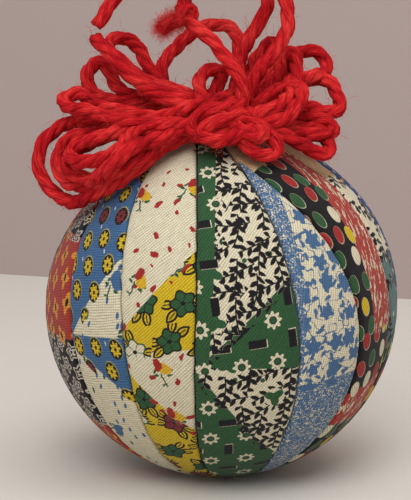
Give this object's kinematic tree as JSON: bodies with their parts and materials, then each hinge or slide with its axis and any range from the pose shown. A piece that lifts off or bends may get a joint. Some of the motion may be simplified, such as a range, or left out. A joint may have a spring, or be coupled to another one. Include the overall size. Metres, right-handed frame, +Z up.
{
  "type": "patchwork fabric ball",
  "caption": "Cloth ball pieced from leaf-shaped patchwork gores drawn in at their seams, with a looped yarn bow on top and a yarn loop to hang it by.",
  "frame": {"origin": "middle of the small flat spot that the ball rests on", "axes": "+Z up from the resting spot through the ball; -Y the side with the widest front gore, which faces the viewer; +X to the viewer's right"},
  "size_m": [0.0784, 0.0768, 0.1155],
  "materials": {
    "patchwork_cotton": "printed woven cotton, matt",
    "red_yarn": "plied yarn with a soft fuzz"
  },
  "bodies": {
    "root": {"gore_01": "patchwork_cotton", "gore_02": "patchwork_cotton", "gore_03": "patchwork_cotton", "gore_04": "patchwork_cotton", "gore_05": "patchwork_cotton", "gore_06": "patchwork_cotton", "gore_07": "patchwork_cotton", "gore_08": "patchwork_cotton", "gore_09": "patchwork_cotton", "gore_10": "patchwork_cotton", "gore_11": "patchwork_cotton", "gore_12": "patchwork_cotton", "gore_13": "patchwork_cotton", "gore_14": "patchwork_cotton", "gore_15": "patchwork_cotton", "yarn_bow": "red_yarn", "hanging_loop": "red_yarn", "loose_tail": "red_yarn"}
  },
  "joints": []
}
